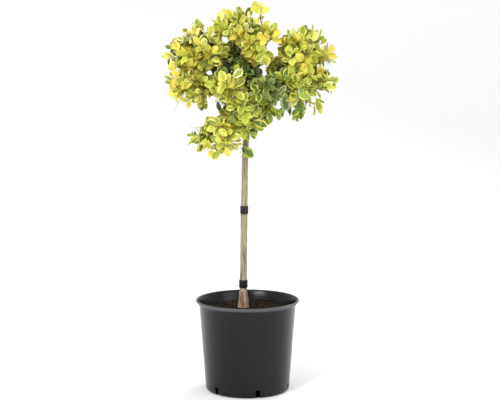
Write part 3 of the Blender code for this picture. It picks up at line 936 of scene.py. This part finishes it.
def leaf(shape, base, along, face_up, length, width, tones, dice, allowed):
    """A leaf with a pale margin round a green middle, where it is allowed. Says whether it was made."""
    rows = leaf_rows(base, along, face_up, length, width, dice)
    checked = [rows[i][k] for i in CHECKED_ROWS for k in CHECKED_POINTS] + [rows[-1][2]]
    if not all(allowed(point) for point in checked):
        return False
    margin_tone, middle_tone = (TONE_NAMES.index(tone) for tone in tones)
    verts = [[shape.verts.new(point) for point in row] for row in rows]
    for lower, upper in zip(verts, verts[1:]):
        on_stalk = lower is verts[0]
        at_tip = upper is verts[-1]
        for k in range(LEAF_CELLS):
            face = shape.faces.new((lower[k], lower[k + 1], upper[k + 1], upper[k]))
            on_margin = (k in MARGIN_CELLS or at_tip) and not on_stalk
            face.material_index = margin_tone if on_margin else middle_tone
    return True


def spray_tones(mass, depth, dice):
    """Margin and middle tones for the leaves of one spray."""
    mix = SKIN_MIX.get(mass.name, SKIN_MIX["back"])
    # A deep spray's mix leans to green and dark kinds: partly greener leaves, partly painted shade of the
    # crown's inside.
    if depth > SHADE_DEPTH:
        mix = [chance * factor + extra for chance, factor, extra in zip(mix, SHADE_FACTORS, SHADE_EXTRAS)]
    margins, middles = KINDS[dice.choices(KIND_NAMES, weights=mix)[0]]
    return [(dice.choice(margins), dice.choice(middles)) for _ in range(TONE_PAIRS)]


def spray(shape, nodes, end, depth, mass, masses, dice):
    """Opposite pairs of leaves up the last stretch of a twig, with a young pair at its tip."""
    run = [end]
    while nodes[run[-1]][1] is not None and len(run) <= SPRAY_PAIRS:
        run.append(nodes[run[-1]][1])
    run.reverse()
    tones = spray_tones(mass, depth, dice)
    outward = (nodes[end][0] - mass.centre).normalized()
    lift = UP * (HANG if mass.name in HANGING else RISE)
    size = dice.uniform(*SPRAY_SIZE)
    turn = dice.uniform(0, math.pi)

    def allowed(point):
        if in_sky_gap(point):
            return False
        return mass.depth(point) > -OVERHANG or crown_depth(point, masses) > -OVERHANG

    for before, here in zip(run, run[1:]):
        point = nodes[here][0]
        heading = (point - nodes[before][0]).normalized()
        turn += math.pi / 2 + dice.uniform(-PAIR_TURN_SCATTER, PAIR_TURN_SCATTER)
        at_tip = here == end
        spread = dice.uniform(*(TIP_SPREAD if at_tip else SIDE_SPREAD))
        across = Matrix.Rotation(turn, 3, heading) @ heading.orthogonal().normalized()
        for sign in (-1, 1):
            along = heading * math.cos(spread) + across * sign * math.sin(spread)
            along += outward * OUTWARD_PULL + lift
            face_up = heading * FACE_ALONG + outward * FACE_OUT + UP * FACE_UP
            face_up += random_vector(dice) * FACE_SCATTER
            length = dice.uniform(*LEAF_LENGTH) * size * (TIP_LEAF_SCALE if at_tip else 1)
            width = length * dice.uniform(*LEAF_WIDTH_SHARE)
            for scale in (1, SECOND_TRY_SCALE):
                leaf_tones = dice.choice(tones)
                shrunk = (length * scale, width * scale)
                if leaf(shape, point, along, face_up, *shrunk, leaf_tones, dice, allowed):
                    break


def feature_leaves(shape, name, dice):
    for mass, foot, tip, behind, width, *tones in FEATURE_LEAVES:
        if mass != name:
            continue
        start = seen_at(*foot, behind)
        along = seen_at(*tip, behind) - start
        pixel = seen_at(foot[0] + 1, foot[1], behind).x - start.x
        facing = Vector((dice.uniform(*FEATURE_SWING), -1, FEATURE_TILT))
        leaf(shape, start, along, facing, along.length, width * pixel, tones, dice, lambda point: True)


def foliage(limb_ends):
    """Twigs and leaves for each mass, grown from the limb that ends nearest to its middle."""
    masses = [Mass(name) for name in MASS_NAMES]
    surfaces = []
    for name, colour in TONES.items():
        surfaces.append(plain("leaf_" + name, colour, roughness=0.42, specular=0.4))
    brown = plain("twig_brown", (0.14, 0.095, 0.055), roughness=0.8, specular=0.3)
    green = plain("twig_green", (0.22, 0.25, 0.07), roughness=0.6, specular=0.4)
    for mass in masses:
        dice = random.Random(mass.name)
        root = min(limb_ends, key=lambda place: (place - mass.centre).length)
        nodes, spray_ends = grow(root, pick_tips(mass, dice), dice)
        twigs = bmesh.new()
        twig_mesh(twigs, nodes, twig_radii(nodes))
        dry_shoots(twigs, mass.name)
        leaves = bmesh.new()
        for end, depth in spray_ends:
            spray(leaves, nodes, end, depth, mass, masses, dice)
        feature_leaves(leaves, mass.name, dice)
        placed(make_object(mass.name + "_leaves", leaves, surfaces), "leaves", mass.name)
        placed(make_object(mass.name + "_twigs", twigs, [brown, green]), "bark")


# Floor, light and camera


def stage():
    shape = bmesh.new()
    rows = [(FLOOR_FRONT, 0.0), (BEND_START, 0.0)]
    for i in range(1, BEND_STEPS + 1):
        angle = math.pi / 2 * i / BEND_STEPS
        rows.append((BEND_START + BEND_RADIUS * math.sin(angle), BEND_RADIUS * (1 - math.cos(angle))))
    rows.append((BEND_START + BEND_RADIUS, BACKDROP_TOP))
    sides = (-FLOOR_HALF_WIDTH, FLOOR_HALF_WIDTH)
    loops = [[shape.verts.new((x, y, z)) for x in sides] for y, z in rows]
    for lower, upper in zip(loops, loops[1:]):
        shape.faces.new((lower[0], lower[1], upper[1], upper[0]))
    white = plain("floor_white", (0.93, 0.93, 0.93), roughness=0.9, specular=0.1)
    floor = make_object("floor", shape, [white])


def light():
    world = bpy.data.worlds.new("studio")
    world.use_nodes = True
    background = world.node_tree.nodes["Background"]
    background.inputs["Color"].default_value = (1, 1, 1, 1)
    background.inputs["Strength"].default_value = WORLD_STRENGTH
    bpy.context.scene.world = world
    for name, place, target, size, power in LAMPS:
        data = bpy.data.lights.new(name, "AREA")
        data.shape = "SQUARE"
        data.size = size
        data.energy = power
        lamp = bpy.data.objects.new(name, data)
        lamp.location = place
        lamp.rotation_euler = (Vector(target) - Vector(place)).to_track_quat("-Z", "Y").to_euler()
        bpy.context.scene.collection.objects.link(lamp)


def camera():
    data = bpy.data.cameras.new("camera")
    data.sensor_width = SENSOR_MM
    data.lens = FOCAL_PX * SENSOR_MM / PICTURE_WIDTH
    obj = bpy.data.objects.new("camera", data)
    obj.location = CAMERA_PLACE
    obj.rotation_euler = (math.pi / 2 - CAMERA_PITCH, 0, 0)
    bpy.context.scene.collection.objects.link(obj)
    bpy.context.scene.camera = obj


def main():
    pot()
    soil()
    for name in TIE_TONES:
        tie(name)
    trunk()
    foliage(boughs())
    stage()
    light()
    camera()
    bpy.context.scene.view_settings.view_transform = "Standard"


main()
